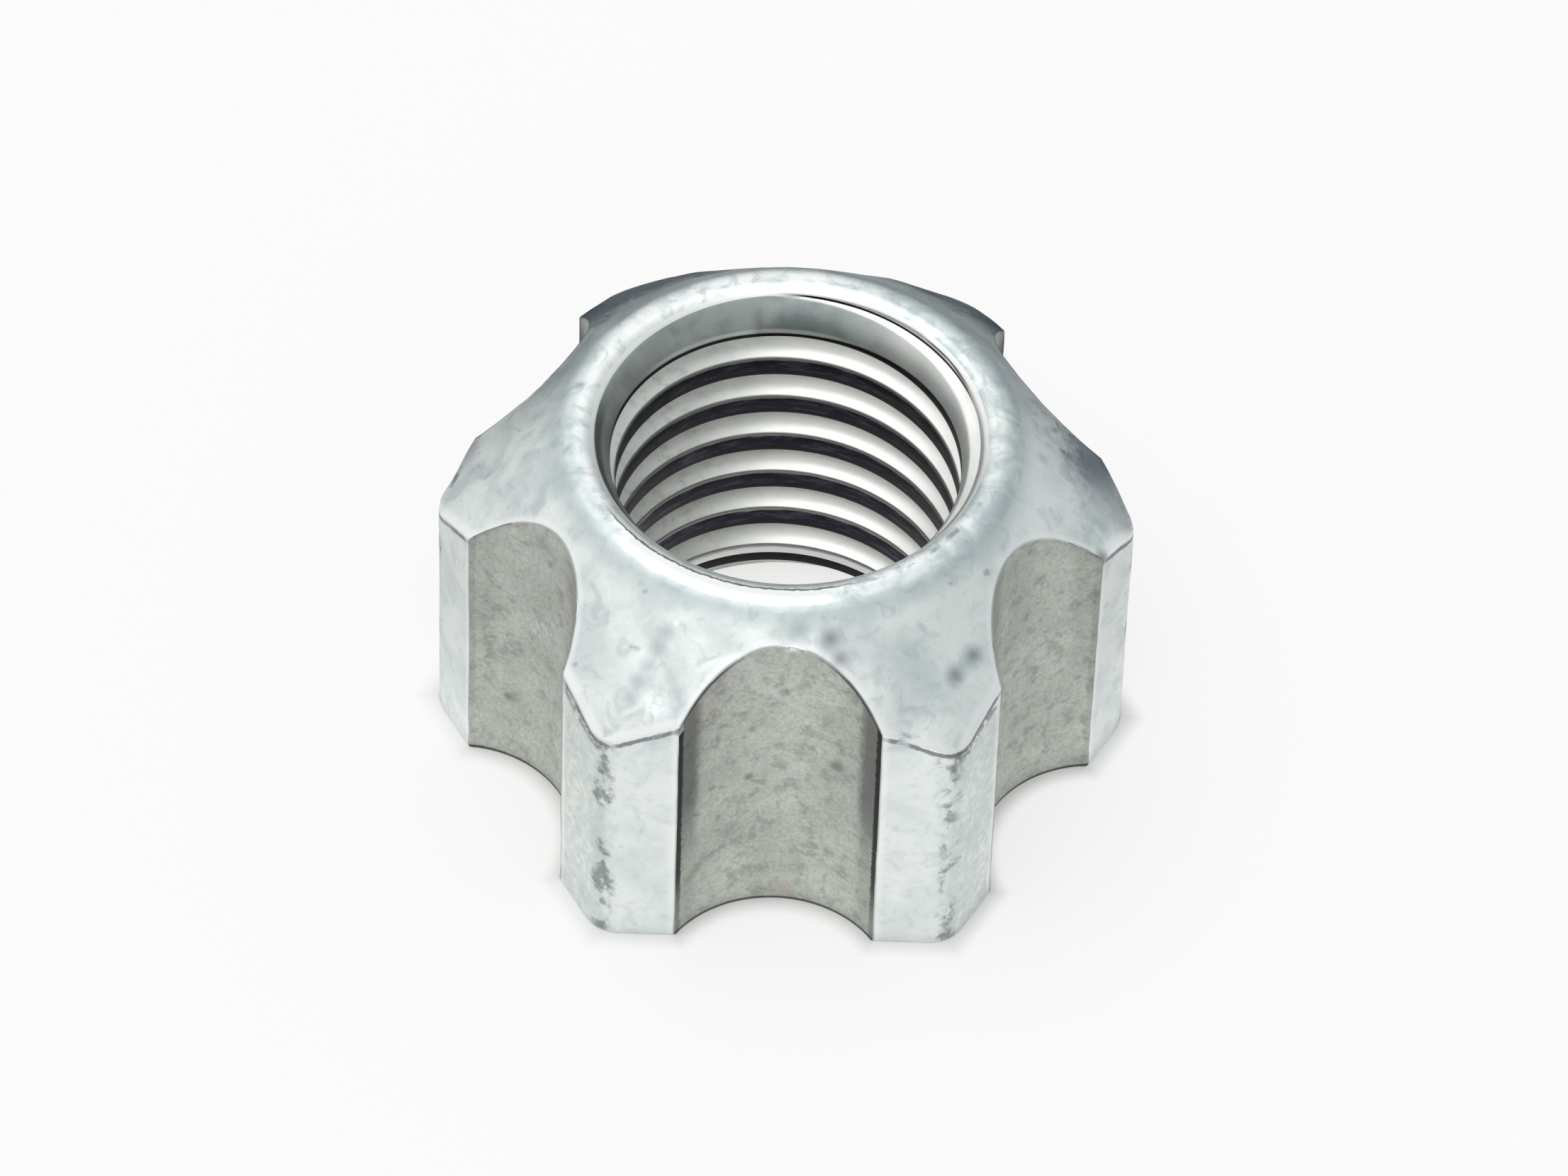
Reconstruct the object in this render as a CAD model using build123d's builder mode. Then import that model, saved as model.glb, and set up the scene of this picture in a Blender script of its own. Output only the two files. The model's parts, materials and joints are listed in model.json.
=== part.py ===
"""Wheel nut: a forged hexagon with a conical seat, six round flutes and a right-hand thread.

The origin is the centre of the flat base. +Z runs along the thread's axis, out of the seat end.
"""
from build123d import *

import os
from math import ceil, cos, pi, radians, tan

# Hexagon and seat, in millimetres and degrees
across_flats = 19.0  # spanner size, flat to flat
corner_radius = 1.2  # rounding of the six forged corners
nut_height = 12.85  # base to the top of the ring
base_edge_break = 0.08  # chamfer round the foot of the hexagon
seat_angle = 90.0  # included angle of the conical seat
ring_width = 0.85  # ring round the mouth of the thread, before its edge is rounded
ring_edge_radius = 0.8  # rounding where the ring turns into the seat

# Flutes, one down the middle of each flat
flat_count = 6
flute_radius = 3.7  # radius of the cutter that makes a flute
flute_depth = 1.6  # below the flat

# Thread
thread_diameter = 12.0  # major diameter
thread_pitch = 1.75
thread_angle = 60.0  # between the two flanks
root_flat = 1 / 8  # width of the flat at the groove's root, as a share of the pitch
full_depth = 5 / 8  # depth of the full thread, as a share of its sharp triangle's height
thread_engagement = 0.71  # share of the full thread depth that the drilled hole leaves
thread_start_angle = 226.0  # where the tap enters the base, about the axis from +X
cutter_overhang = 0.02  # the groove's cutter starts this far below the base
cutter_reach = 1 / 8  # the cutter's tip stands this far inside the crests, as a share of the pitch

# Ends of the hole
rim_clearance = 0.1  # the hole's two rims clear the thread's root by this much
mouth_angle = 60.0  # included angle of the tapered lead-in below the mouth
foot_angle = 90.0  # included angle of the countersink in the base

# Sizes that follow
corner_reach = across_flats / 2 / cos(pi / flat_count)
flute_axis_radius = across_flats / 2 - flute_depth + flute_radius
root_radius = thread_diameter / 2
sharp_height = thread_pitch / 2 / tan(radians(thread_angle / 2))
crest_radius = root_radius - sharp_height * full_depth * thread_engagement
rim_radius = root_radius + rim_clearance
ring_radius = rim_radius + ring_width
mouth_depth = (rim_radius - crest_radius) / tan(radians(mouth_angle / 2))
foot_depth = (rim_radius - crest_radius) / tan(radians(foot_angle / 2))
seat_drop = (corner_reach - ring_radius) / tan(radians(seat_angle / 2))

# The groove's section: a flat root and two flanks that run past the crest
half_root = thread_pitch * root_flat / 2
cutter_tip = crest_radius - thread_pitch * cutter_reach
half_cutter = half_root + (root_radius - cutter_tip) * tan(radians(thread_angle / 2))
groove_start = -half_cutter - cutter_overhang
groove_turns = ceil((nut_height + half_cutter - groove_start) / thread_pitch)

# One turn of the groove, right-handed, with the middle of its first end on the XY plane
with BuildPart() as groove_turn:
    with BuildLine() as helix:
        Helix(thread_pitch, thread_pitch, root_radius)
    with BuildSketch(Plane.XZ):
        with BuildLine():
            Polyline(
                (root_radius, -half_root),
                (root_radius, half_root),
                (cutter_tip, half_cutter),
                (cutter_tip, -half_cutter),
                close=True,
            )
        make_face()
    sweep(path=helix.wires()[0], is_frenet=True)

with BuildPart() as wheel_nut:
    # Hexagon with its flutes, drawn as one outline and raised to full height
    with BuildSketch() as outline:
        RegularPolygon(across_flats / 2, flat_count, major_radius=False)
        fillet(outline.vertices(), corner_radius)
        with PolarLocations(flute_axis_radius, flat_count, start_angle=180 / flat_count):
            Circle(flute_radius, mode=Mode.SUBTRACT)
    extrude(amount=nut_height)
    foot_edges = wheel_nut.faces().sort_by(Axis.Z)[0].outer_wire().edges()
    chamfer(foot_edges, base_edge_break)

    # The conical seat and the rounded ring, turned about the axis
    with BuildSketch(Plane.XZ) as turned_outside:
        with BuildLine():
            Polyline(
                (0, 0),
                (corner_reach, 0),
                (corner_reach, nut_height - seat_drop),
                (ring_radius, nut_height),
                (0, nut_height),
                close=True,
            )
        make_face()
        ring_corner = turned_outside.vertices().sort_by_distance((ring_radius, 0, nut_height))[0]
        fillet(ring_corner, ring_edge_radius)
    revolve(axis=Axis.Z, mode=Mode.INTERSECT)

    # The drilled hole, with its lead-in at the mouth and its countersink in the base
    with BuildSketch(Plane.XZ):
        with BuildLine():
            Polyline(
                (0, 0),
                (rim_radius, 0),
                (crest_radius, foot_depth),
                (crest_radius, nut_height - mouth_depth),
                (rim_radius, nut_height),
                (0, nut_height),
                close=True,
            )
        make_face()
    revolve(axis=Axis.Z, mode=Mode.SUBTRACT)

    # The thread groove, cut turn by turn from the base up
    for turn in range(groove_turns):
        with Locations((0, 0, groove_start + turn * thread_pitch)):
            add(groove_turn.part, rotation=(0, 0, thread_start_angle), mode=Mode.SUBTRACT)

wheel_nut.part.label = "wheel_nut"
os.makedirs("parts", exist_ok=True)
export_step(wheel_nut.part, "parts/wheel_nut.step")
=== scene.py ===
"""Wheel nut: its worn surface and finishes, and the floor, tent, lamps and camera round it.

Lengths are in metres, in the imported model's frame. The finishes work in millimetres.
"""

import json
from math import atan2, ceil, cos, pi, radians, sin, sqrt, tan

import bmesh
import bpy
import numpy as np
from mathutils import Matrix, Vector


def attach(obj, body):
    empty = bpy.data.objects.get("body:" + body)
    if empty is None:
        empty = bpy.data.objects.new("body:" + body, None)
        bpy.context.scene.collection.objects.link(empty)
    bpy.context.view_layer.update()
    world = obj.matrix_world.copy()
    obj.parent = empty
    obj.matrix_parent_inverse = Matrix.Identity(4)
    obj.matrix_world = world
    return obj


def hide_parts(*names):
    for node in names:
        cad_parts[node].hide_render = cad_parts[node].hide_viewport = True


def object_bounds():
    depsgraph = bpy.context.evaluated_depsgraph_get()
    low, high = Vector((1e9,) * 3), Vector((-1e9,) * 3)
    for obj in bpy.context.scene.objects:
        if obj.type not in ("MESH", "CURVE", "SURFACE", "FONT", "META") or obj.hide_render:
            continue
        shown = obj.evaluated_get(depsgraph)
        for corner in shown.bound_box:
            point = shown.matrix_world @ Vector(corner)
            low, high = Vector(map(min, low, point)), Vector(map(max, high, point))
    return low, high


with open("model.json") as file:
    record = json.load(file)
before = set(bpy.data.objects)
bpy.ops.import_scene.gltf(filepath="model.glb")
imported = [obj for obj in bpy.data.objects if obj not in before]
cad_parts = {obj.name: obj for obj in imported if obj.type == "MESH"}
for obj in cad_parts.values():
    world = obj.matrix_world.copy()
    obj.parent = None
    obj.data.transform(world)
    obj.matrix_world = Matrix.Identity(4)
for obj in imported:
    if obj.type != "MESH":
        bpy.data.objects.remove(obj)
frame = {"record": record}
cad_low, cad_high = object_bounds()
MM = 0.001

# Sizes that the frame gives
stud_thread = next(mount for mount in frame["record"]["mounts"] if mount["name"] == "stud_thread")
half_flats = cad_high.y
nut_height = cad_high.z
crest_radius = stud_thread["dims"]["r_mm"] * MM

# Hexagon, flutes and seat
flat_count = 6
sixth = 2 * pi / flat_count  # turn from one flat to the next
first_flat = radians(-90)  # direction of the flat that faces the camera
corner_radius = 1.2 * MM
flute_radius = 3.7 * MM
flute_depth = 1.6 * MM
flute_axis = half_flats - flute_depth + flute_radius
ring_radius = 6.95 * MM  # where the seat's slope would meet the top
ring_rounding = 0.8 * MM
foot_rounding = 0.08 * MM
seat_slope = 1.0  # fall for each unit outwards
seat_bend = 45  # degrees that the section turns from the wall to the seat
worn_edge = 0.16 * MM  # rounding where the hexagon meets the seat
cut_edge = 0.05 * MM  # rounding of the flutes' edges

# Thread
thread_pitch = 1.75 * MM
root_radius = 6.0 * MM
half_root = thread_pitch / 8 / 2  # half the width of the flat at the groove's root
flank_slope = tan(radians(30))
thread_phase = -0.644 * MM  # height of the groove's middle in the direction of thread_start
thread_start = radians(226)
thread_softness = 0.025 * MM  # how far the crests' edges are worn round

# Ends of the hole
rim_radius = 6.1 * MM
mouth_slope = tan(radians(30))  # growth of the radius for each unit up the mouth's taper
foot_slope = 1.0  # growth of the radius for each unit down the base's taper
mouth_start = nut_height - (rim_radius - crest_radius) / mouth_slope  # height of the taper's lower end
foot_end = (rim_radius - crest_radius) / foot_slope
lip_rounding = 0.3 * MM

# Waves and ripples of the forging: their seeds, how deep they press, and the shortest and longest of them
wave_seed = 11
wave_depth = 0.035 * MM
wave_lengths = (2.2 * MM, 7 * MM)
ripple_seed = 12
ripple_depth = 0.02 * MM
ripple_lengths = (0.7 * MM, 1.6 * MM)

# Where the wear starts above the base and outside the ring, and how far it takes to grow full
wear_foot = 0.1 * MM
wear_ring = 6.5 * MM
wear_growth = 0.8 * MM
flute_wear = 0.15  # share of the wear that the flutes have, below the seat
seat_fade = 0.4 * MM  # depth under the seat at which the flutes have only that share

# Dents: direction in degrees, radius, height, width and depth in millimetres
dents = (
    (-112, 9.3, 10.4, 0.55, 0.10),
    (-106, 10.1, 9.6, 0.5, 0.09),
    (-118, 8.5, 11.2, 0.5, 0.07),
    (-66, 9.8, 9.9, 0.6, 0.10),
    (-88, 7.8, 12.0, 0.45, 0.07),
    (-122, 10.9, 7.9, 0.6, 0.10),
    (-60, 10.9, 6.2, 0.5, 0.09),
    (-121, 10.9, 3.1, 0.7, 0.10),
    (-58, 10.9, 2.4, 0.6, 0.08),
    (2, 10.4, 9.3, 0.6, 0.09),
    (176, 10.2, 9.6, 0.7, 0.08),
    (64, 9.9, 9.9, 0.8, 0.09),
    (118, 9.4, 10.4, 0.6, 0.08),
)

# Columns of the surface in half a flat, from its middle to its corner
flute_columns = 18
edge_columns = 5
flat_columns = 8
corner_columns = 8

# Rows of each stretch of the surface's section, from the base's rim to the lip of the mouth
base_rows = 4
foot_rows = 4
wall_rows = 24
worn_rows = 5
seat_rows = 18
ring_rows = 12
land_rows = 3
lip_rows = 10
close_rows = 0.02 * MM  # spacing of the rows at the thread's edges

# What counts as the same place, and as a face of a flute or of the hole
merge_distance = 0.0005 * MM
flute_tolerance = 0.03 * MM
hole_tolerance = 0.005 * MM
upright_limit = 0.35  # an upright face's normal rises less than this


def point_at(direction, radius, height):
    """Point given by its direction about the axis in degrees, its radius and its height."""
    turn = radians(direction)
    return radius * cos(turn), radius * sin(turn), height


def half_flat():
    """Points (n, t) from the middle of a flat to its corner, n out of the flat and t along it.

    They follow an arc of the flute, a small arc round its edge, the flat that is left and half the
    corner's arc.
    """
    edge_n = half_flats - cut_edge
    edge_t = sqrt((flute_radius + cut_edge) ** 2 - (flute_axis - edge_n) ** 2)
    edge_turn = atan2(edge_t, flute_axis - edge_n)
    corner_n = half_flats - corner_radius
    corner_t = corner_n * tan(sixth / 2)
    flute_turn = np.linspace(0, edge_turn, flute_columns, endpoint=False)
    round_turn = np.linspace(-edge_turn, 0, edge_columns, endpoint=False)
    corner_turn = np.linspace(0, sixth / 2, corner_columns)
    flat_t = np.linspace(edge_t, corner_t, flat_columns, endpoint=False)
    n = np.concatenate([
        flute_axis - flute_radius * np.cos(flute_turn),
        edge_n + cut_edge * np.cos(round_turn),
        np.full(flat_columns, half_flats),
        corner_n + corner_radius * np.cos(corner_turn),
    ])
    t = np.concatenate([
        flute_radius * np.sin(flute_turn),
        edge_t + cut_edge * np.sin(round_turn),
        flat_t,
        corner_t + corner_radius * np.sin(corner_turn),
    ])
    return n, t


flute_end = half_flat()[1][flute_columns]  # where the flute's arc ends, along the flat


def outline():
    """Reach and direction of each column, with t, its place along its own flat.

    It is half_flat, mirrored and repeated.
    """
    n, t = half_flat()
    n = np.concatenate([n[:0:-1], n[:-1]])
    t = np.concatenate([-t[:0:-1], t[:-1]])
    flats = first_flat + np.arange(flat_count) * sixth
    direction = (flats[:, None] + np.arctan2(t, n)).ravel()
    return np.tile(np.hypot(n, t), flat_count), direction, np.tile(t, flat_count)


def arc(middle_r, middle_z, radius, start, end, rows):
    """Rows (r, z) of an arc in the section, from one angle in degrees to the other, for every column."""
    turn = np.linspace(radians(start), radians(end), rows)[:, None]
    return np.broadcast_arrays(middle_r + radius * np.cos(turn), middle_z + radius * np.sin(turn))


def straight(r0, z0, r1, z1, rows):
    """Rows (r, z) of a straight stretch of the section between its ends, without the ends."""
    share = np.linspace(0, 1, rows + 2)[1:-1, None]
    return np.broadcast_arrays(r0 + (r1 - r0) * share, z0 + (z1 - z0) * share)


def hole_radius(z):
    """Radius of the hole before its thread, at each height.

    It is the largest of the drilled wall, the mouth's taper with its rounded lip and the base's taper.
    """
    mouth = crest_radius + (z - mouth_start) * mouth_slope
    into_lip = np.clip(z - nut_height + lip_rounding, 0, lip_rounding)
    lip = lip_rounding - np.sqrt(lip_rounding**2 - into_lip**2)
    return np.maximum(np.maximum(crest_radius, mouth + lip), rim_radius - z * foot_slope)


def bored_radius(direction, z):
    """Radius of the threaded hole: the larger of the plain hole and the groove, with worn edges between.

    The groove's middle climbs one pitch a turn. Its radius is the root's near the middle and falls along
    the flanks.
    """
    middle = thread_phase + thread_pitch * (direction - thread_start) / (2 * pi)
    away = np.abs((z - middle + thread_pitch / 2) % thread_pitch - thread_pitch / 2)
    groove = root_radius - np.maximum(away - half_root, 0) / flank_slope
    plain = hole_radius(z)
    blend = np.clip(0.5 + (groove - plain) / (2 * thread_softness), 0, 1)
    return plain + (groove - plain) * blend + thread_softness * blend * (1 - blend)


def outer_rows(reach, direction, edge):
    """Rows (r, z) of the section, for every column.

    They run from the base's inner rim out, up the wall, over the seat and the ring, and into the lip.
    """
    every = np.zeros(len(reach))  # spreads one value over all columns
    tangent = tan(radians(seat_bend) / 2)  # of a rounding that turns that far, for each unit of its radius
    foot_r = reach - foot_rounding
    wall_top = nut_height - (reach - ring_radius) * seat_slope
    ring_r = ring_radius - ring_rounding * tangent
    rim_r = bored_radius(direction, nut_height)
    foot = arc(foot_r, foot_rounding, foot_rounding, -90, 0, foot_rows)
    worn = arc(reach - edge, wall_top - edge * tangent, edge, 0, seat_bend, worn_rows)
    ring = arc(ring_r + every, nut_height - ring_rounding, ring_rounding, seat_bend, 90, ring_rows)
    lip_turn = np.linspace(0, pi / 2, lip_rows)[:, None]
    lip_z = nut_height - lip_rounding * (1 - np.cos(lip_turn)) + every
    rim = np.full((1, len(reach)), rim_radius)
    stretches = [
        (rim, 0 * rim),
        straight(rim_radius, 0, foot[0][0], 0, base_rows),
        foot,
        straight(reach, foot[1][-1], reach, worn[1][0], wall_rows),
        worn,
        straight(worn[0][-1], worn[1][-1], ring[0][0], ring[1][0], seat_rows),
        ring,
        straight(ring[0][-1], nut_height, rim_r, nut_height, land_rows),
        (bored_radius(direction, lip_z), lip_z),
    ]
    return np.concatenate([r for r, z in stretches]), np.concatenate([z for r, z in stretches])


def groove_edges(middle):
    """How far below and above the groove's middle its flanks end, on the drilled wall or on either taper.

    A flank's radius falls steeply on both sides of the root, so each end is where two straight lines cross.
    """
    steep = 1 / flank_slope
    wall = root_radius + half_root * steep - crest_radius
    mouth = wall - (middle - mouth_start) * mouth_slope
    foot = wall + crest_radius - rim_radius + middle * foot_slope
    below = np.minimum(mouth / (steep - mouth_slope), foot / (steep + foot_slope))
    above = np.minimum(mouth / (steep + mouth_slope), foot / (steep - foot_slope))
    return [np.maximum(np.minimum(wall / steep, end), 0) for end in (below, above)]


def thread_rows(direction):
    """Rows (r, z) that climb with the thread, one set to each pitch, closest at the groove's edges.

    A row's height is its place in the pitch plus the climb up to its column, kept between the hole's two
    ends. On the crest two rows follow the lines where the tapers start.
    """
    turns = np.arange(ceil(nut_height / thread_pitch) + 2)[:, None]
    middle = thread_phase + thread_pitch * (turns + (direction - thread_start) / (2 * pi))
    sides = []
    for edge in groove_edges(middle):
        root = np.minimum(half_root, 0.5 * edge)
        flank = edge - root
        inside = np.minimum(close_rows, 0.2 * flank)
        sides.append([
            0.3 * root,
            0.85 * root,
            root + inside,
            root + 0.5 * flank,
            edge - inside,
            edge,
            edge + close_rows,
        ])
    low = sides[1][-1]
    high = thread_pitch - groove_edges(middle + thread_pitch)[0] - close_rows
    kinks = [np.clip(kink - middle, low, high) for kink in (foot_end, mouth_start)]
    places = [-place for place in sides[0][::-1]] + sides[1] + kinks
    z = np.stack([middle + place for place in places], axis=1).reshape(-1, len(direction))
    z = np.clip(z, 0, nut_height - lip_rounding)
    return bored_radius(direction, z), z, len(places)


def waves(points, seed, shortest, longest, count=40):
    """Smooth noise from -1 to 1: a mean of sine waves with seeded directions, phases and lengths."""
    chance = np.random.default_rng(seed)
    heading = chance.normal(size=(count, 3))
    heading /= np.linalg.norm(heading, axis=1)[:, None]
    length = shortest * (longest / shortest) ** chance.random(count)
    angle = points @ (heading / length[:, None]).T * 2 * pi + chance.random(count) * 2 * pi
    return np.sin(angle).mean(axis=-1) * sqrt(count) / 2


def faces_of(rows, columns, first=0, climb=0):
    """Corner numbers of a grid's faces, whose last column joins the first one, climb rows higher."""
    row, column = np.meshgrid(np.arange(rows - 1), np.arange(columns), indexing="ij")
    beside = (column + 1) % columns
    lift = np.where(column + 1 == columns, climb, 0)
    low = np.clip(row + lift, 0, rows - 1)
    high = np.clip(row + 1 + lift, 0, rows - 1)
    numbers = [
        row * columns + column,
        low * columns + beside,
        high * columns + beside,
        (row + 1) * columns + column,
    ]
    return first + np.stack([number.ravel() for number in numbers], axis=1)


def cylinder_points(r, z, direction):
    """Points of a grid of radii and heights, each in its column's direction."""
    return np.stack([r * np.cos(direction), r * np.sin(direction), z], axis=-1)


def grid_normals(points):
    """Outward normals of a closed grid: the cross product of its steps along rows and up columns."""
    along = np.roll(points, -1, axis=1) - np.roll(points, 1, axis=1)
    up = np.gradient(points, axis=0)
    normal = np.cross(along, up)
    return normal / np.maximum(np.linalg.norm(normal, axis=-1, keepdims=True), 1e-12)


def wear(points, normals, t):
    """The outside with its forging waves, ripples and dents pressed in along the normals.

    All of them go inwards. The base and the ring stay as they are, and the flutes have only a share.
    """
    x, y, z = np.moveaxis(points, -1, 0)
    radius = np.hypot(x, y)
    free = np.clip((z - wear_foot) / wear_growth, 0, 1) * np.clip((radius - wear_ring) / wear_growth, 0, 1)
    depth = nut_height - (radius - ring_radius) * seat_slope - z
    on_seat = np.clip(1 - depth / seat_fade, 0, 1)
    free = free * np.where(np.abs(t) < flute_end, flute_wear + (1 - flute_wear) * on_seat, 1.0)
    press = wave_depth * (0.5 + 0.5 * waves(points, wave_seed, *wave_lengths))
    press = press + ripple_depth * np.clip(waves(points, ripple_seed, *ripple_lengths), 0, 1)
    for direction, dent_radius, height, width, dent_depth in dents:
        middle = np.array(point_at(direction, dent_radius, height)) * MM
        near = np.linalg.norm(points - middle, axis=-1) / (width * MM)
        press = press + dent_depth * MM * np.exp(-near**2)
    return points - normals * (press * free)[..., None]


def make_nut():
    """The nut as one closed surface: the outside's grid and the thread's, merged at their rims."""
    reach, direction, t = outline()
    columns = len(reach)
    edge = np.where(np.abs(t) < flute_end, cut_edge, worn_edge)
    r, z = outer_rows(reach, direction, edge)
    outside = cylinder_points(r, z, direction)
    outside = wear(outside, grid_normals(outside), t)
    r, z, rows_in_pitch = thread_rows(direction)
    inside = cylinder_points(r, z, direction)[::-1]
    points = np.concatenate([outside.reshape(-1, 3), inside.reshape(-1, 3)])
    faces = np.concatenate([
        faces_of(len(outside), columns),
        faces_of(len(inside), columns, len(outside) * columns, -rows_in_pitch),
    ])
    mesh = bpy.data.meshes.new("worn_nut")
    mesh.from_pydata(points, [], faces.tolist())
    merged = bmesh.new()
    merged.from_mesh(mesh)
    bmesh.ops.remove_doubles(merged, verts=merged.verts, dist=merge_distance)
    merged.to_mesh(mesh)
    merged.free()
    mesh.shade_smooth()
    nut = bpy.data.objects.new("worn_nut", mesh)
    bpy.context.scene.collection.objects.link(nut)
    return nut


def finish_faces(mesh):
    """Number of each face's finish: 0 zinc plate, 1 the flutes' milled steel, 2 the cut thread and mouth.

    A face is in a flute if it stands upright on the cutter's cylinder, and in the hole if its middle is
    within the rim's radius.
    """
    middle = np.zeros(len(mesh.polygons) * 3)
    mesh.polygons.foreach_get("center", middle)
    normal = np.zeros(len(mesh.polygons) * 3)
    mesh.polygons.foreach_get("normal", normal)
    x, y = middle.reshape(-1, 3)[:, :2].T
    radius = np.hypot(x, y)
    turn = (np.arctan2(y, x) - first_flat + sixth / 2) % sixth - sixth / 2
    gap = np.hypot(radius * np.cos(turn) - flute_axis, radius * np.sin(turn)) - flute_radius
    upright = np.abs(normal.reshape(-1, 3)[:, 2]) < upright_limit
    finish = np.zeros(len(mesh.polygons), dtype=np.int32)
    finish[(gap < flute_tolerance) & upright] = 1
    finish[radius < rim_radius + hole_tolerance] = 2
    return finish


class Socket:
    """One output of a node. Arithmetic on it adds Math nodes to the same finish."""

    def __init__(self, finish, output):
        self.finish = finish
        self.output = output

    def maths(self, operation, *values):
        return self.finish.add("ShaderNodeMath", {"operation": operation}, dict(enumerate(values)))

    def __add__(self, other):
        return self.maths("ADD", self, other)

    def __radd__(self, other):
        return self.maths("ADD", other, self)

    def __sub__(self, other):
        return self.maths("SUBTRACT", self, other)

    def __rsub__(self, other):
        return self.maths("SUBTRACT", other, self)

    def __mul__(self, other):
        return self.maths("MULTIPLY", self, other)

    def __rmul__(self, other):
        return self.maths("MULTIPLY", other, self)

    def absolute(self):
        """The value without its sign."""
        return self.maths("ABSOLUTE", self)

    def wrapped(self, low, high):
        """The value moved by whole stretches until it lies between low and high."""
        return self.maths("WRAP", self, high, low)

    def between(self, low, high):
        """Smoothly from 0 at low to 1 at high, and level beyond both. low may be the larger."""
        ends = {"Value": self, "From Min": low, "From Max": high}
        return self.finish.add("ShaderNodeMapRange", {"interpolation_type": "SMOOTHSTEP"}, ends)


class Finish:
    """A node tree, cleared first. Its method add makes any node, and the other methods call it."""

    def __init__(self, owner):
        owner.use_nodes = True
        self.tree = owner.node_tree
        self.tree.nodes.clear()

    def add(self, kind, settings=None, inputs=None, output=0):
        """Any node: its type, its settings, then its inputs' values or links. It gives the named output."""
        node = self.tree.nodes.new(kind)
        for name, value in (settings or {}).items():
            setattr(node, name, value)
        for name, value in (inputs or {}).items():
            if isinstance(value, Socket):
                self.tree.links.new(value.output, node.inputs[name])
            else:
                node.inputs[name].default_value = value
        return Socket(self, node.outputs[output]) if len(node.outputs) else node

    def parts(self, vector):
        """The x, y and z of a vector."""
        return [self.add("ShaderNodeSeparateXYZ", None, {"Vector": vector}, part) for part in "XYZ"]

    def noise(self, place, size, detail, roughness=0.5, distortion=0.0):
        """Noise from 0 to 1, whose patches are about size millimetres across."""
        values = {"Vector": place, "Scale": 1 / size, "Detail": detail, "Roughness": roughness}
        return self.add("ShaderNodeTexNoise", None, {**values, "Distortion": distortion})

    def stretched(self, place, x, y, z):
        """Place with its three directions scaled."""
        return self.add("ShaderNodeVectorMath", {"operation": "MULTIPLY"}, {0: place, 1: (x, y, z)})

    def mix(self, share, low, high):
        """Colour from low to high as share goes from 0 to 1.

        A Mix node takes its colours at inputs 6 and 7 and gives their mix at output 2.
        """
        low = low if isinstance(low, Socket) else (*low, 1)
        high = high if isinstance(high, Socket) else (*high, 1)
        return self.add("ShaderNodeMix", {"data_type": "RGBA"}, {0: share, 6: low, 7: high}, 2)

    def layered(self, colour, *layers):
        """Colour with layers mixed over it in turn, each a share and a colour of its own."""
        for share, shade in layers:
            colour = self.mix(share, colour, shade)
        return colour

    def metal(self, colour, roughness, height, rise):
        """Metal of this colour and roughness, whose surface rises by so many millimetres as height goes
        from 0 to 1.
        """
        bump = {"Strength": 1.0, "Distance": rise * MM, "Height": height}
        normal = self.add("ShaderNodeBump", None, bump)
        values = {"Base Color": colour, "Roughness": roughness, "Metallic": 1.0, "Normal": normal}
        shader = self.add("ShaderNodeBsdfPrincipled", None, values)
        self.add("ShaderNodeOutputMaterial", None, {"Surface": shader})


class NutPlace:
    """Where a point is on or beside the nut, in millimetres and radians.

    radius and direction are about the axis. fall is the way down from the nut's top, and depth the way
    down from the seat's cone. inset is how far inside its own flat it is, along is its place along that
    flat and side the same without its sign. gap is how far outside the flute's cylinder it is, and corner
    how far from the nearest corner's line. wall is 1 lower than where the corners meet the seat, and 0
    higher.
    """

    def __init__(self, finish):
        coordinates = finish.add("ShaderNodeTexCoord", output="Object")
        self.finish = finish
        self.vector = finish.stretched(coordinates, 1 / MM, 1 / MM, 1 / MM)
        self.x, self.y, self.z = finish.parts(self.vector)
        self.radius = self.length(self.x, self.y)
        self.direction = self.y.maths("ARCTAN2", self.y, self.x)
        self.fall = nut_height / MM - self.z
        self.depth = self.fall - (self.radius - ring_radius / MM) * seat_slope
        self.wall = self.fall.between(*wall_fall)
        turn = (self.direction - first_flat).wrapped(-sixth / 2, sixth / 2)
        out = self.radius * turn.maths("COSINE", turn)
        self.inset = half_flats / MM - out
        self.along = self.radius * turn.maths("SINE", turn)
        self.side = self.along.absolute()
        self.gap = self.length(out - flute_axis / MM, self.along) - flute_radius / MM
        self.corner = (sixth / 2 - turn.absolute()) * self.radius

    def length(self, a, b):
        """Length of the long side of a right triangle with sides a and b."""
        squares = a * a + b * b
        return squares.maths("SQRT", squares)

    def helix(self):
        """Height above the groove's middle, from half a pitch below it to half a pitch above."""
        pitch = thread_pitch / MM
        climb = (self.direction - thread_start) * (pitch / (2 * pi)) + thread_phase / MM
        return (self.z - climb).wrapped(-pitch / 2, pitch / 2)

    def facing(self, direction, inner, outer):
        """1 within inner degrees of a direction about the axis, and 0 beyond outer degrees."""
        away = (self.direction - radians(direction)).wrapped(-pi, pi)
        return away.absolute().between(radians(outer), radians(inner))

    def marked(self, colour, marks, ragged):
        """Colour with marks mixed over it, each a place, a strength and a colour of its own.

        A mark's place is its direction, radius, height and size, and its edge is as ragged as the noise.
        """
        for (direction, radius, height, size), strength, shade in marks:
            ends = {0: self.vector, 1: point_at(direction, radius, height)}
            away = self.finish.add("ShaderNodeVectorMath", {"operation": "DISTANCE"}, ends, "Value")
            mark = (away + ragged * size).between(size * 1.6, size * 0.5)
            colour = self.finish.mix(mark * strength, colour, shade)
        return colour


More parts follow.
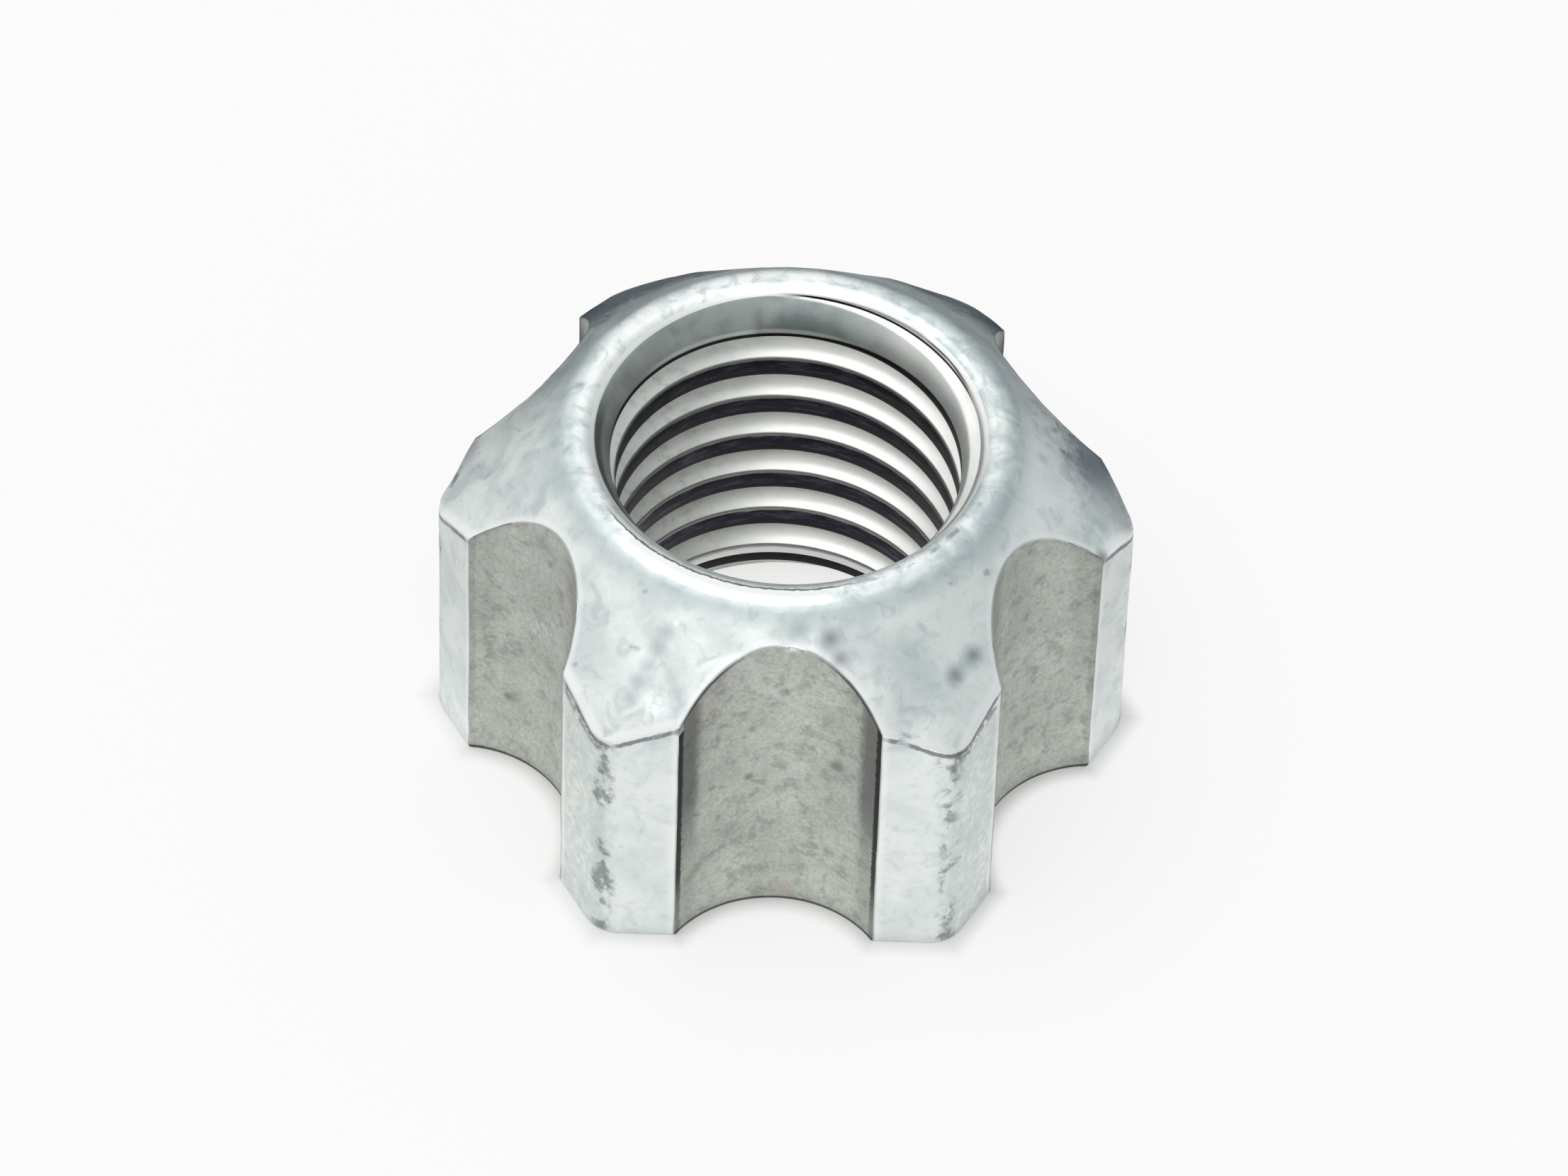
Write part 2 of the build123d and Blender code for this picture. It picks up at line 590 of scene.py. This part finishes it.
# Colours, as the surfaces render in plain light
zinc_bright = (0.80, 0.845, 0.825)
zinc_dull = (0.66, 0.72, 0.715)
zinc_shade = (0.42, 0.49, 0.51)
zinc_slate = (0.17, 0.205, 0.24)
zinc_purple = (0.20, 0.19, 0.235)
zinc_dark = (0.10, 0.115, 0.115)
zinc_pit = (0.19, 0.215, 0.2)
zinc_green = (0.5, 0.56, 0.51)
# Worn pale zinc, also used for painted highlights
zinc_wear_and_highlight = (0.95, 0.97, 0.96)
ring_grey = (0.55, 0.60, 0.57)
steel_light = (0.62, 0.66, 0.60)
steel_dark = (0.50, 0.53, 0.48)
steel_pale = (0.72, 0.75, 0.69)
steel_pink = (0.57, 0.555, 0.545)
steel_spot = (0.20, 0.205, 0.19)
steel_shade = (0.135, 0.14, 0.14)
# Brown of painted shade in the flutes
brown_shade = (0.27, 0.24, 0.225)
steel_rust = (0.52, 0.44, 0.43)
# Black of painted shadow lines at the flutes' edges, arch and foot
shadow_black = (0.025, 0.025, 0.025)
flank_bright = (0.95, 0.96, 0.93)
flank_dull = (0.88, 0.89, 0.86)
flank_shade = (0.55, 0.57, 0.53)
crest_dark = (0.018, 0.018, 0.027)
crest_grey = (0.055, 0.055, 0.078)
root_dark = (0.012, 0.012, 0.014)
mouth_bright = (0.43, 0.48, 0.465)
mouth_dull = (0.26, 0.30, 0.305)
mouth_shade = (0.17, 0.19, 0.205)

# Marks in the flutes: direction in degrees, radius, height, size in millimetres, then strength and colour
flute_marks = (
    ((-96.5, 8.07, 5.96, 0.22), 0.75, steel_spot),
    ((-78.0, 8.54, 6.97, 0.36), 0.75, steel_spot),
    ((-89.1, 7.9, 9.86, 0.24), 0.55, steel_spot),
    ((-96.0, 8.06, 8.2, 0.2), 0.55, steel_spot),
    ((-79.0, 8.45, 2.8, 0.32), 0.45, steel_spot),
    ((-100.0, 8.3, 3.6, 0.6), 0.3, steel_spot),
    ((-74.0, 8.7, 2.2, 0.5), 0.6, steel_rust),
    ((-89.0, 7.9, 0.6, 0.5), 0.6, steel_rust),
    ((-105.0, 8.7, 10.0, 0.5), 0.5, steel_rust),
    ((-164.0, 8.84, 2.89, 0.26), 0.75, steel_spot),
    ((-150.0, 7.9, 9.5, 0.3), 0.5, steel_spot),
    ((-139.0, 8.5, 6.6, 0.3), 0.5, steel_spot),
    ((-33.0, 7.92, 8.3, 0.3), 0.3, steel_spot),
    ((-24.0, 8.1, 3.4, 0.45), 0.3, steel_spot),
    ((88.0, 7.9, 5.0, 0.3), 0.6, steel_spot),
    ((152.0, 7.9, 7.0, 0.3), 0.5, steel_spot),
    # The next two marks are painted shade on the sides of the rear flutes
    ((133.0, 9.9, 9.0, 1.2), 0.85, steel_shade),
    ((47.0, 9.9, 9.0, 1.2), 0.85, steel_shade),
    ((28.0, 7.9, 3.5, 0.35), 0.5, steel_spot),
)

# Marks on the zinc, in the same way
zinc_marks = (
    ((-114.6, 7.83, 11.97, 0.16), 1.0, zinc_wear_and_highlight),
    ((-116.2, 8.1, 11.7, 0.4), 0.55, zinc_shade),
    ((-116.9, 8.5, 11.3, 0.42), 0.7, zinc_shade),
    ((-117.4, 8.9, 10.9, 0.42), 0.7, zinc_shade),
    ((-117.8, 9.3, 10.5, 0.45), 0.7, zinc_shade),
    ((-118.2, 9.7, 10.1, 0.4), 0.65, zinc_shade),
    ((-79.6, 7.75, 12.05, 0.55), 0.75, zinc_purple),
    ((-78.0, 8.2, 11.6, 0.42), 0.6, zinc_purple),
    ((-86.5, 7.5, 12.3, 0.45), 0.6, zinc_shade),
    ((-55.4, 9.25, 10.55, 0.48), 0.75, zinc_slate),
    ((-52.6, 9.15, 10.65, 0.4), 0.5, zinc_shade),
    ((-50.4, 9.05, 10.75, 0.46), 0.75, zinc_slate),
    ((-66.0, 8.4, 11.4, 1.1), 0.3, zinc_shade),
    ((-104.0, 7.9, 11.9, 0.8), 0.25, zinc_shade),
    ((-172.0, 6.8, 12.8, 0.3), 0.6, zinc_slate),
    ((165.0, 6.7, 12.8, 0.26), 0.6, zinc_slate),
    # The slate and dark marks in the next nine rows, at the right and round the back, are painted shade for
    # the dark reflected there
    ((-11.8, 9.98, 9.8, 0.45), 0.8, zinc_slate),
    ((0.5, 7.8, 12.0, 0.3), 0.45, zinc_slate),
    ((8.0, 9.0, 10.8, 0.9), 0.5, zinc_slate),
    ((16.0, 10.3, 9.5, 1.6), 0.8, zinc_slate),
    ((42.0, 9.6, 10.2, 2.2), 0.6, zinc_slate),
    ((138.0, 9.6, 10.2, 2.2), 0.75, zinc_slate),
    ((131.0, 10.0, 9.8, 1.0), 0.8, zinc_dark),
    ((49.0, 10.0, 9.8, 1.0), 0.8, zinc_dark),
    ((171.0, 10.3, 9.5, 1.0), 0.7, zinc_slate),
    ((-9.5, 10.1, 7.2, 0.25), 0.4, zinc_shade),
)

# Painted shade on the seat, for the dark it reflects at its rear and right corners: direction and half
# width in degrees, and the radius where each starts
seat_shade_wedges = (
    (130, 22, 7.7),
    (50, 12, 8.2),
    (19, 10, 7.9),
)
shade_fade = 16  # degrees in which a patch of painted shade fades at its sides
shade_growth = 1.5  # millimetres outwards in which it grows full

ring_line = 6.4  # radius of the worn line round the ring
wall_fall = (3.45, 4.05)  # ways down from the nut's top between which the corners turn from seat to wall

# In the finishes, the bounds of a place are in millimetres and those of a noise are its values. What
# multiplies a mask is its strength.


def worn_corners(finish, place, colour, mottle, stained):
    """Wear down the hexagon's corners: a wandering grey line, pits in blotches, and green where stained.

    It gives the colour and the pits.
    """
    wander = (finish.noise(place.vector, 1.8, 2) - 0.5) * 0.9 + (mottle - 0.5) * 0.9
    line = (place.corner + wander).absolute().between(0.5, 0.0) * place.wall
    blotch = finish.noise(finish.stretched(place.vector, 1, 1, 0.8), 0.6, 3, 0.6).between(0.46, 0.6)
    pits = line * blotch
    colour = finish.layered(
        colour,
        (place.wall * 0.3, zinc_wear_and_highlight),
        (line * 0.22, zinc_shade),
        (pits * 0.75, zinc_pit),
        (stained * place.wall * mottle.between(0.3, 0.6) * 0.4, zinc_green),
    )
    return colour, pits


def edge_wear_and_light(finish, place, colour, patches, mottle, stained):
    """Wear and painted light along the edges: a bright lip, worn and with a painted highlight, over a
    broken dark line of painted shadow where the seat ends, roughness under it where stained, and pale rims
    with thin dark burrs at the flutes.

    It gives the colour, the lip and the burrs.
    """
    under = place.depth - (mottle - 0.5) * 0.15
    below = place.fall.between(2.25, 2.55)
    # The lip's white is partly wear and partly a painted highlight, and the broken line under it a painted
    # shadow
    lip = place.depth.between(0.16, 0.04) * place.inset.between(0.36, 0.16)
    rough = under.between(0.1, 0.2) * under.between(0.8, 0.55) * below * stained
    line = under.between(0.08, 0.14) * under.between(0.34, 0.26) * below * place.inset.between(0.3, 0.2)
    rim = place.gap.between(0.3, 0.12)
    burr = place.gap.between(0.09, 0.03)
    colour = finish.layered(
        colour,
        (lip * 0.75, zinc_wear_and_highlight),
        (rough * mottle.between(0.42, 0.56) * 0.7, zinc_pit),
        (line * patches.between(0.72, 0.48) * 0.85, zinc_purple),
        (rim * 0.5, zinc_wear_and_highlight),
        (burr * 0.55, zinc_dark),
    )
    return colour, lip, burr


def shaded_seat(finish, place, colour, patches, mottle):
    """Ragged slate patches of painted shade on the seat at its rear and right corners, and a pale patch on
    the right.
    """
    ragged = place.radius + (patches - 0.5) * 2.6 + (mottle - 0.5) * 0.9
    pale = place.facing(-2, 16, 32) * place.radius.between(7.0, 7.4) * ragged.between(9.6, 8.6)
    colour = finish.mix(pale * 0.35, colour, zinc_wear_and_highlight)
    # Slate patches of painted shade, for the dark the seat reflects there
    for direction, half_width, start in seat_shade_wedges:
        painted_shade = place.facing(direction, half_width, half_width + shade_fade)
        painted_shade = painted_shade * ragged.between(start, start + shade_growth) * (1 - place.wall)
        colour = finish.mix(painted_shade * 0.8, colour, zinc_slate)
    return colour


def ring_wear_and_light(finish, place, colour, patches, mottle):
    """The ring's wear and painted light: white and grey mottling, a dark line round it that is broken on
    the right, a polished stretch outside that line at the front whose white is a painted highlight, and
    a greyer shoulder where the seat starts, painted shade that dulls the lamps' highlight there.

    It gives the colour, the polished stretch and the shoulder.
    """
    top = place.fall.between(0.35, 0.25)
    beyond = place.radius - ring_line
    jagged = beyond + (mottle - 0.5) * 0.16
    off_line = jagged.absolute()
    front = place.facing(-110, 30, 45)
    right = place.facing(10, 45, 75)
    broken = finish.noise(place.vector, 0.7, 2).between(0.46, 0.56) * place.facing(-38, 22, 40)
    white = top * beyond.between(0.58, 0.48) * patches.between(0.62, 0.4) * (1 - right * 0.75)
    inside = jagged.between(0.04, -0.02) * top * front
    # The polished stretch's white is a painted highlight, and the shoulder's grey painted shade that dulls
    # the lamps' highlight
    polished_and_highlit = place.facing(-108, 26, 31) * jagged.between(0.0, 0.04) * jagged.between(0.58, 0.5) * top
    shoulder = beyond.between(0.1, 0.35) * beyond.between(1.3, 0.8)
    shoulder = shoulder * (1 - polished_and_highlit) * place.facing(-75, 130, 155)
    colour = finish.layered(
        colour,
        (white * 0.7, zinc_wear_and_highlight),
        (top * right * patches.between(0.38, 0.58) * 0.4, zinc_shade),
        (shoulder * 0.42, zinc_shade),
        (inside * 0.6, ring_grey),
        (polished_and_highlit, zinc_wear_and_highlight),
        (off_line.between(0.045, 0.02) * top * front * 0.9, zinc_dark),
        (off_line.between(0.12, 0.05) * top * broken * 0.6, zinc_slate),
    )
    return colour, polished_and_highlit, shoulder


def zinc_plate():
    """Pale silvery zinc with soft blue-grey clouds, fine mottling and dark specks, worn and marked, and
    with painted highlights and painted shade.
    """
    material = bpy.data.materials.new("zinc_plate")
    finish = Finish(material)
    place = NutPlace(finish)
    clouds = finish.noise(place.vector, 2.4, 3, 0.5, 0.6)
    patches = finish.noise(place.vector, 0.8, 4, 0.6, 1.0)
    mottle = finish.noise(place.vector, 0.28, 3, 0.6, 0.4)
    specks = finish.noise(place.vector, 0.45, 1).between(0.72, 0.8)
    stained = place.facing(-126, 5.5, 7) + place.facing(-54, 5.5, 7)
    colour = finish.layered(
        finish.mix(clouds.between(0.36, 0.6), zinc_dull, zinc_bright),
        (patches.between(0.5, 0.68) * 0.42, zinc_shade),
        (patches.between(0.46, 0.3) * 0.3, zinc_wear_and_highlight),
        (mottle.between(0.5, 0.7) * 0.13, zinc_shade),
        (specks * 0.3, zinc_dark),
    )
    colour, pits = worn_corners(finish, place, colour, mottle, stained)
    colour, lip, burr = edge_wear_and_light(finish, place, colour, patches, mottle, stained)
    colour = place.marked(colour, zinc_marks, patches)
    colour = shaded_seat(finish, place, colour, patches, mottle)
    colour, polished_and_highlit, shoulder = ring_wear_and_light(finish, place, colour, patches, mottle)
    roughness = 0.36 + clouds * 0.08 + patches * 0.1 + pits * 0.2 - lip * 0.1
    roughness = roughness - polished_and_highlit * 0.26 + shoulder * 0.1
    height = patches * 0.45 + mottle * 0.22 - pits - burr * 0.5
    finish.metal(colour, roughness, height, 0.016)
    return material


def milled_steel():
    """Bare grey satin steel with a fine green and pink grain, and grey and rusty marks.

    The front flute's sides and arch get painted shade, and its edges and all flutes' feet black lines
    of painted shadow. The flutes beside it get a brown painted shade on the half nearer to it.
    """
    material = bpy.data.materials.new("milled_steel")
    finish = Finish(material)
    place = NutPlace(finish)
    clouds = finish.noise(place.vector, 1.5, 3, 0.55, 0.3)
    mottle = finish.noise(place.vector, 0.55, 3, 0.6, 0.5)
    grain = finish.noise(place.vector, 0.13, 3, 0.7)
    tint = finish.noise(place.vector, 0.3, 3, 0.7)
    lines = finish.noise(finish.stretched(place.vector, 0.3, 0.3, 3.0), 0.6, 3, 0.6)
    colour = finish.layered(
        finish.mix(clouds.between(0.3, 0.7), steel_dark, steel_light),
        (tint.between(0.46, 0.6) * 0.6, steel_pink),
        (mottle.between(0.5, 0.68) * 0.3, steel_shade),
        (grain.between(0.48, 0.62) * 0.22, steel_spot),
        (grain.between(0.46, 0.34) * 0.25, steel_pale),
    )
    colour = place.marked(colour, flute_marks, mottle)

    front = place.facing(-90, 50, 60) * 0.85 + 0.15
    high = place.z.between(3.0, 6.5) * 0.7 + 0.3
    low = place.z.between(0.6, 3.0) * 0.6 + 0.4
    # Painted shade: darker sides, a brown shoulder, and black shadow lines at the arch, the edges and the
    # foot
    sides = (place.side + (tint - 0.5) * 0.3).between(2.3, 2.65) * high * front
    shoulder = place.depth.between(1.5, 0.1) * place.side.between(1.4, 2.5) * front
    arch = place.depth.between(0.2, 0.1) * place.side.between(0.8, 2.0) * front
    edge_shadows = (place.side + (grain - 0.5) * 0.1).between(2.9, 2.96) * low * front
    # Painted shade, brown, on the halves of the flutes beside the front one that are nearer to it
    left = place.facing(-150, 25, 30) * place.along.between(0, 1.3)
    right = place.facing(-30, 25, 30) * place.along.between(0, -1.3)
    colour = finish.layered(
        colour,
        (sides * 0.75, steel_shade),
        (shoulder * mottle.between(0.35, 0.6) * 0.6, brown_shade),
        (arch * 0.75, shadow_black),
        (edge_shadows * 0.92, shadow_black),
        (place.z.between(0.2, 0.1) * 0.8, shadow_black),
        ((left + right) * 0.55, brown_shade),
    )
    roughness = 0.52 + mottle * 0.1
    height = mottle * 0.3 + grain * 0.3 + lines * 0.4
    finish.metal(colour, roughness, height, 0.008)
    return material


def cut_thread():
    """Tapped steel: bright satin flanks, and crests painted dark as a reflection, with painted shadow at
    their feet and worn tops brightened by a painted highlight.

    The crests are paler near the base and on the camera's side. The mouth's taper is greyer, stained and
    with a crescent of painted shadow on the left and paler on the right as painted light, and the last turn
    of the groove crosses it with a painted shadow line under a pale edge.
    """
    material = bpy.data.materials.new("cut_thread")
    finish = Finish(material)
    place = NutPlace(finish)
    helix = place.helix()
    over_crest = place.radius - crest_radius / MM
    under_root = root_radius / MM - place.radius
    up_mouth = place.z - mouth_start / MM
    cloud = finish.noise(place.vector, 1.2, 3)
    streak = finish.noise(finish.stretched(place.vector, 0.5, 0.5, 2.5), 0.35, 3, 0.6)
    grain = finish.noise(finish.stretched(place.vector, 1, 1, 2.5), 0.14, 2)
    left = place.facing(175, 50, 85)
    stains = finish.noise(place.vector, 0.5, 3, 0.65).between(0.5, 0.7) * left
    # The flanks' greyer left side is painted shade
    flanks = finish.layered(
        finish.mix(cloud.between(0.35, 0.65), flank_dull, flank_bright),
        (streak.between(0.52, 0.72) * (left * 0.3 + 0.06), flank_shade),
        (left * 0.3 + stains * 0.45, flank_shade),
    )

    # The crests' near black is a painted dark reflection, the black at their feet a painted shadow, and
    # their paler worn tops a painted highlight
    crest = over_crest.between(0.06, 0.02)
    ragged = helix + (streak - 0.5) * 0.12
    shallow = place.z.between(2.2, 1.5)
    foot = (ragged - shallow * 0.25).between(0.72, 0.64) * helix.between(0.4, 0.46) * crest
    top = ragged.between(-0.64, -0.56) * helix.between(-0.4, -0.46) * crest
    crests = finish.layered(
        finish.mix(streak.between(0.45, 0.68), crest_dark, crest_grey),
        (place.facing(-90, 50, 70) * 0.6, flank_shade),
        (shallow * 0.85, flank_dull),
        (foot, root_dark),
        (top * (0.5 - shallow * 0.5), flank_shade),
        (top * shallow * 0.7, crest_grey),
    )

    on_taper = (over_crest - up_mouth * mouth_slope).between(0.04, 0.015) * up_mouth.between(-0.01, 0.05)
    above = helix - half_root / MM - under_root * flank_slope
    pale_edge = above.between(0.1, 0.16) * above.between(0.32, 0.24) * place.facing(105, 25, 45)
    dark_edge = above.between(-0.06, -0.02) * above.between(0.16, 0.1) * place.facing(100, 60, 85)
    # On the mouth, the dark crescent on the left is painted shadow, the paler right is painted light, and
    # the dark edge is a painted shadow line
    mouth = finish.layered(
        finish.mix(cloud.between(0.35, 0.65), mouth_dull, mouth_bright),
        (place.facing(165, 25, 50) * 0.5, flank_shade),
        (stains * 0.25, mouth_shade),
        (place.facing(15, 35, 60) * 0.75, flank_dull),
        (place.facing(200, 22, 42) * under_root.between(0.3, 0.15), mouth_shade),
        (pale_edge * 0.6, flank_dull),
        (dark_edge * 0.95, root_dark),
    )

    # Where the groove runs open at the top, its white is a painted highlight, split by a painted shadow
    # line
    open_groove = place.fall.between(0.65, 0.55) * under_root.between(0.025, 0.01)
    split = helix.between(-0.02, -0.05) * helix.between(-0.16, -0.12) * place.facing(40, 45, 55)
    colour = finish.layered(
        flanks,
        (crest, crests),
        (on_taper, mouth),
        (open_groove, zinc_wear_and_highlight),
        (open_groove * split, root_dark),
        # Painted contact shadow at the foot of the hole
        (place.z.between(0.16, 0.08) * 0.8, root_dark),
    )
    roughness = 0.36 + cloud * 0.1 + grain * 0.06
    finish.metal(colour, roughness, cloud * 0.5 + grain * 0.5, 0.006)
    return material


# Camera, where the photograph's stood: its image in pixels, lengths in millimetres and angles in degrees
photo_width = 2212
focal_pixels = 6772.6
camera_pitch = 47.145
camera_roll = -2.077
camera_distance = 314.5
nut_x = -1.13  # the nut's place from the point that the photograph's camera looked at
nut_y = -15.87
nut_turn = 0.6875
aim_height = 0.44  # share of the nut's height at which the camera looks now
closer = 2.0  # the nut fills this many times more of the frame, from the same place
sensor_width = 36.0


def make_camera():
    """A camera where the photograph's stood, turned to the nut and with a longer lens."""
    pitch = radians(camera_pitch)
    back = Vector((0, -cos(pitch), sin(pitch))) * camera_distance
    turned = Matrix.Rotation(-radians(nut_turn), 3, "Z")
    place = turned @ (back - Vector((nut_x, nut_y, 0))) * MM
    aim = Vector((0, 0, aim_height * nut_height))
    forward = (aim - place).normalized()
    level = forward.cross(Vector((0, 0, 1))).normalized()
    rise = level.cross(forward)
    roll = radians(camera_roll)
    right = cos(roll) * level - sin(roll) * rise
    up = sin(roll) * level + cos(roll) * rise
    data = bpy.data.cameras.new("camera")
    data.sensor_width = sensor_width
    data.lens = focal_pixels * sensor_width / photo_width * closer
    data.clip_start = 0.01
    data.clip_end = 10
    camera = bpy.data.objects.new("camera", data)
    camera.matrix_world = Matrix.LocRotScale(place, Matrix((right, up, -forward)).transposed(), None)
    bpy.context.scene.collection.objects.link(camera)
    bpy.context.scene.camera = camera


# Lamps, which point at the nut's foot: name, place, size and radiance
lamps = (
    ("overhead", (-0.09, 0.03, 0.4), 0.3, 1.5),
    ("front", (-0.05, -0.19, 0.42), 0.27, 1.3),
)

# Floor
floor_reach = 2.0
floor_paper = (0.76, 0.76, 0.755, 1)
floor_glow = (0.995, 1.0, 0.99, 1)
floor_dark = (0.05, 0.065, 0.08, 1)
glow_share = 0.74  # share of the floor's look that is its own glow
contact_share = 0.6  # how much of that share is lost at the nut's foot, a painted contact shadow

# Tent
tent_left = (0.94, 0.94, 0.94)
tent_right = (0.66, 0.68, 0.69)
tent_front = (0.82, 0.82, 0.82)
tent_low = (0.18, 0.21, 0.24)


def make_lamp(name, place, size, radiance):
    """A square soft lamp of this radiance: its power is the radiance times pi times its area."""
    data = bpy.data.lights.new(name, "AREA")
    data.shape = "SQUARE"
    data.size = size
    data.energy = radiance * pi * size**2
    lamp = bpy.data.objects.new(name, data)
    lamp.location = place
    lamp.rotation_euler = (-Vector(place)).to_track_quat("-Z", "Y").to_euler()
    bpy.context.scene.collection.objects.link(lamp)


def make_floor():
    """A wide pale floor that keeps a soft shadow: part of its light to the camera and to metal is its own.

    Metal sees it dark in a wedge behind the nut, and a little darker at both sides: a painted dark
    reflection.
    """
    mesh = bpy.data.meshes.new("floor")
    signs = ((-1, -1), (1, -1), (1, 1), (-1, 1))
    mesh.from_pydata([(x * floor_reach, y * floor_reach, 0) for x, y in signs], [], [(0, 1, 2, 3)])
    floor = bpy.data.objects.new("floor", mesh)
    bpy.context.scene.collection.objects.link(floor)
    material = bpy.data.materials.new("floor_paper")
    finish = Finish(material)
    place = NutPlace(finish)
    to_camera = finish.add("ShaderNodeLightPath", output="Is Camera Ray")
    to_metal = finish.add("ShaderNodeLightPath", output="Is Glossy Ray")
    through_glass = finish.add("ShaderNodeLightPath", output="Is Transmission Ray")
    paper = finish.add("ShaderNodeBsdfDiffuse", None, {"Color": floor_paper})
    glow = finish.add("ShaderNodeEmission", None, {"Color": floor_glow, "Strength": 1.0})
    dark = finish.add("ShaderNodeEmission", None, {"Color": floor_dark, "Strength": 1.0})
    # Near the nut's foot less glow shows, so the paper darkens there: a painted contact shadow
    under_nut = place.inset.maths("MINIMUM", place.inset, place.gap)
    contact = under_nut.between(-0.7, 0.0) * place.radius.between(6.5, 6.6)
    share = (to_camera + to_metal + through_glass) * (glow_share - contact * contact_share)
    shader = finish.add("ShaderNodeMixShader", None, {0: share, 1: paper, 2: glow})
    # A painted dark reflection: metal sees the floor dark behind the nut and a little darker at its sides
    behind = place.y.between(9, 15) * (place.x.absolute() - place.y).between(15, -5)
    sides = place.x.absolute().between(11, 16) * place.y.between(16, 12)
    share = to_metal * (behind * 0.92 + sides * 0.24)
    shader = finish.add("ShaderNodeMixShader", None, {0: share, 1: shader, 2: dark})
    finish.add("ShaderNodeOutputMaterial", None, {"Surface": shader})
    mesh.materials.append(material)


def make_tent():
    """A pale tent as the world, brightest at the camera's left, greyer at its right and a cool grey low
    behind the nut.
    """
    world = bpy.data.worlds.new("tent")
    bpy.context.scene.world = world
    finish = Finish(world)
    right, behind, height = finish.parts(finish.add("ShaderNodeTexCoord", output="Generated"))
    tent = finish.layered(
        finish.mix(right.between(-0.1, 0.75), tent_left, tent_right),
        (behind.between(-0.3, -0.65) * height.between(0.35, 0.6), tent_front),
        (behind.between(0.5, 0.9) * height.between(0.5, 0.1) * 0.9, tent_low),
    )
    shader = finish.add("ShaderNodeBackground", None, {"Color": tent, "Strength": 1.0})
    finish.add("ShaderNodeOutputWorld", None, {"Surface": shader})


nut = make_nut()
for material in (zinc_plate(), milled_steel(), cut_thread()):
    nut.data.materials.append(material)
nut.data.polygons.foreach_set("material_index", finish_faces(nut.data))
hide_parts("wheel_nut")
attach(nut, "root")

make_camera()
make_floor()
make_tent()
for lamp in lamps:
    make_lamp(*lamp)
bpy.context.scene.view_settings.view_transform = "Standard"
